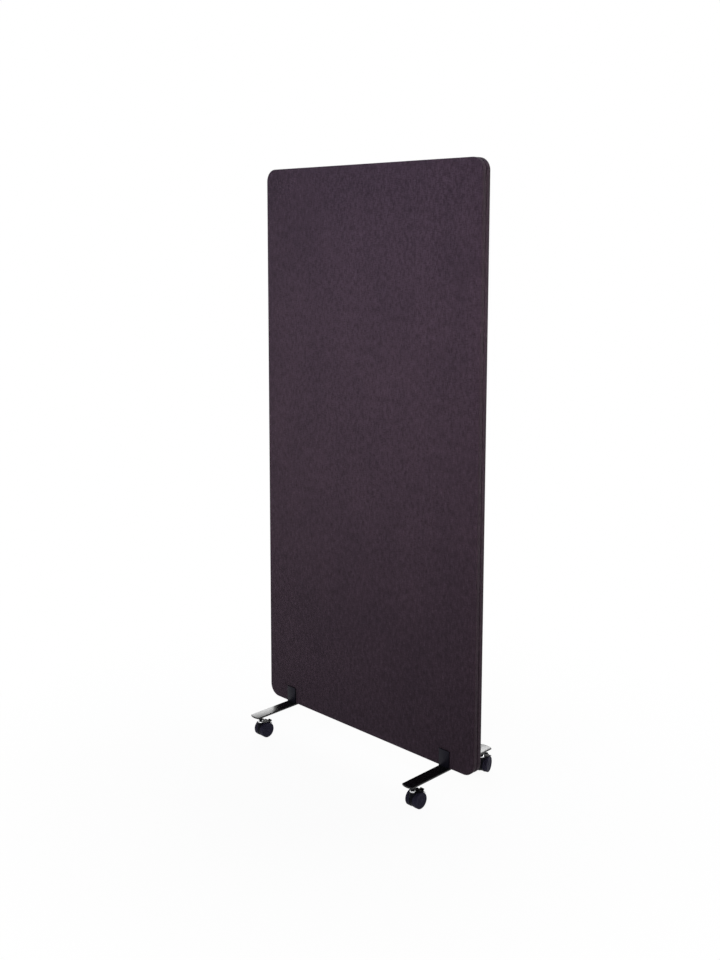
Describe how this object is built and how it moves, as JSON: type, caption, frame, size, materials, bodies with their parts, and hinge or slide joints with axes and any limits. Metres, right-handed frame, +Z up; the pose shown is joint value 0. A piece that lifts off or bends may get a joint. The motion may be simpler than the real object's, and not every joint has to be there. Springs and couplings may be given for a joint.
{
  "type": "rolling partition",
  "caption": "Upright upholstered screen panel on two flat steel feet that roll on braked swivel casters, for dividing a room.",
  "frame": {"origin": "on the floor under the middle of the panel", "axes": "+Z up, +X along the panel's width, -Y towards the front face"},
  "size_m": [0.9, 0.3953, 1.879],
  "materials": {
    "fabric": "matt heather weave",
    "wadding": "soft fibre",
    "board": "fibreboard",
    "core": "matt",
    "powder_coat": "semi-gloss powder coat",
    "screw": "black oxide",
    "black_steel": "black zinc",
    "zinc": "bright zinc",
    "hood_plastic": "semi-gloss moulded",
    "wheel_plastic": "satin moulded"
  },
  "bodies": {
    "frame": {"front_fabric_cover": "fabric", "front_wadding": "wadding", "front_board": "board", "core_sheet": "core", "rear_board": "board", "rear_wadding": "wadding", "rear_fabric_cover": "fabric", "left_foot_bar": "powder_coat", "left_front_tab": "powder_coat", "left_rear_tab": "powder_coat", "left_foot_screw_1": "screw", "left_foot_screw_2": "screw", "right_foot_bar": "powder_coat", "right_front_tab": "powder_coat", "right_rear_tab": "powder_coat", "right_foot_screw_1": "screw", "right_foot_screw_2": "screw", "front_left_stem": "black_steel", "front_left_stem_collar": "zinc", "front_left_lock_nut": "black_steel", "front_right_stem": "black_steel", "front_right_stem_collar": "zinc", "front_right_lock_nut": "black_steel", "rear_left_stem": "black_steel", "rear_left_stem_collar": "zinc", "rear_left_lock_nut": "black_steel", "rear_right_stem": "black_steel", "rear_right_stem_collar": "zinc", "rear_right_lock_nut": "black_steel"},
    "front_left_caster": {"front_left_housing": "hood_plastic", "front_left_axle": "zinc", "front_left_pedal_pin": "zinc"},
    "front_left_left_wheel": {"front_left_wheel_left": "wheel_plastic"},
    "front_left_right_wheel": {"front_left_wheel_right": "wheel_plastic"},
    "front_left_pedal": {"front_left_brake_pedal": "hood_plastic"},
    "front_right_caster": {"front_right_housing": "hood_plastic", "front_right_axle": "zinc", "front_right_pedal_pin": "zinc"},
    "front_right_left_wheel": {"front_right_wheel_left": "wheel_plastic"},
    "front_right_right_wheel": {"front_right_wheel_right": "wheel_plastic"},
    "front_right_pedal": {"front_right_brake_pedal": "hood_plastic"},
    "rear_left_caster": {"rear_left_housing": "hood_plastic", "rear_left_axle": "zinc", "rear_left_pedal_pin": "zinc"},
    "rear_left_left_wheel": {"rear_left_wheel_left": "wheel_plastic"},
    "rear_left_right_wheel": {"rear_left_wheel_right": "wheel_plastic"},
    "rear_left_pedal": {"rear_left_brake_pedal": "hood_plastic"},
    "rear_right_caster": {"rear_right_housing": "hood_plastic", "rear_right_axle": "zinc", "rear_right_pedal_pin": "zinc"},
    "rear_right_left_wheel": {"rear_right_wheel_left": "wheel_plastic"},
    "rear_right_right_wheel": {"rear_right_wheel_right": "wheel_plastic"},
    "rear_right_pedal": {"rear_right_brake_pedal": "hood_plastic"}
  },
  "joints": [
    {"name": "front_left_swivel", "type": "hinge", "parent": "frame", "child": "front_left_caster", "pos_m": [-0.34, -0.161, 0.045], "axis": [0, 0, 1], "continuous": true},
    {"name": "front_left_left_wheel_spin", "type": "hinge", "parent": "front_left_caster", "child": "front_left_left_wheel", "pos_m": [-0.34, -0.146, 0.02479], "axis": [1, 0, 0], "continuous": true},
    {"name": "front_left_right_wheel_spin", "type": "hinge", "parent": "front_left_caster", "child": "front_left_right_wheel", "pos_m": [-0.34, -0.146, 0.02479], "axis": [1, 0, 0], "continuous": true},
    {"name": "front_left_brake_press", "type": "hinge", "parent": "front_left_caster", "child": "front_left_pedal", "pos_m": [-0.34, -0.1281, 0.0462], "axis": [1, 0, 0], "range_deg": [-15, 0]},
    {"name": "front_right_swivel", "type": "hinge", "parent": "frame", "child": "front_right_caster", "pos_m": [0.34, -0.161, 0.045], "axis": [0, 0, 1], "continuous": true},
    {"name": "front_right_left_wheel_spin", "type": "hinge", "parent": "front_right_caster", "child": "front_right_left_wheel", "pos_m": [0.34, -0.146, 0.02479], "axis": [1, 0, 0], "continuous": true},
    {"name": "front_right_right_wheel_spin", "type": "hinge", "parent": "front_right_caster", "child": "front_right_right_wheel", "pos_m": [0.34, -0.146, 0.02479], "axis": [1, 0, 0], "continuous": true},
    {"name": "front_right_brake_press", "type": "hinge", "parent": "front_right_caster", "child": "front_right_pedal", "pos_m": [0.34, -0.1281, 0.0462], "axis": [1, 0, 0], "range_deg": [-15, 0]},
    {"name": "rear_left_swivel", "type": "hinge", "parent": "frame", "child": "rear_left_caster", "pos_m": [-0.34, 0.161, 0.045], "axis": [0, 0, 1], "continuous": true},
    {"name": "rear_left_left_wheel_spin", "type": "hinge", "parent": "rear_left_caster", "child": "rear_left_left_wheel", "pos_m": [-0.33688, 0.17567, 0.02479], "axis": [0.9781, -0.2079, 0], "continuous": true},
    {"name": "rear_left_right_wheel_spin", "type": "hinge", "parent": "rear_left_caster", "child": "rear_left_right_wheel", "pos_m": [-0.33688, 0.17567, 0.02479], "axis": [0.9781, -0.2079, 0], "continuous": true},
    {"name": "rear_left_brake_press", "type": "hinge", "parent": "rear_left_caster", "child": "rear_left_pedal", "pos_m": [-0.33316, 0.19318, 0.0462], "axis": [0.9781, -0.2079, 0], "range_deg": [-15, 0]},
    {"name": "rear_right_swivel", "type": "hinge", "parent": "frame", "child": "rear_right_caster", "pos_m": [0.34, 0.161, 0.045], "axis": [0, 0, 1], "continuous": true},
    {"name": "rear_right_left_wheel_spin", "type": "hinge", "parent": "rear_right_caster", "child": "rear_right_left_wheel", "pos_m": [0.33512, 0.17518, 0.02479], "axis": [0.9455, 0.3256, 0], "continuous": true},
    {"name": "rear_right_right_wheel_spin", "type": "hinge", "parent": "rear_right_caster", "child": "rear_right_right_wheel", "pos_m": [0.33512, 0.17518, 0.02479], "axis": [0.9455, 0.3256, 0], "continuous": true},
    {"name": "rear_right_brake_press", "type": "hinge", "parent": "rear_right_caster", "child": "rear_right_pedal", "pos_m": [0.32929, 0.19211, 0.0462], "axis": [0.9455, 0.3256, 0], "range_deg": [-15, 0]}
  ]
}
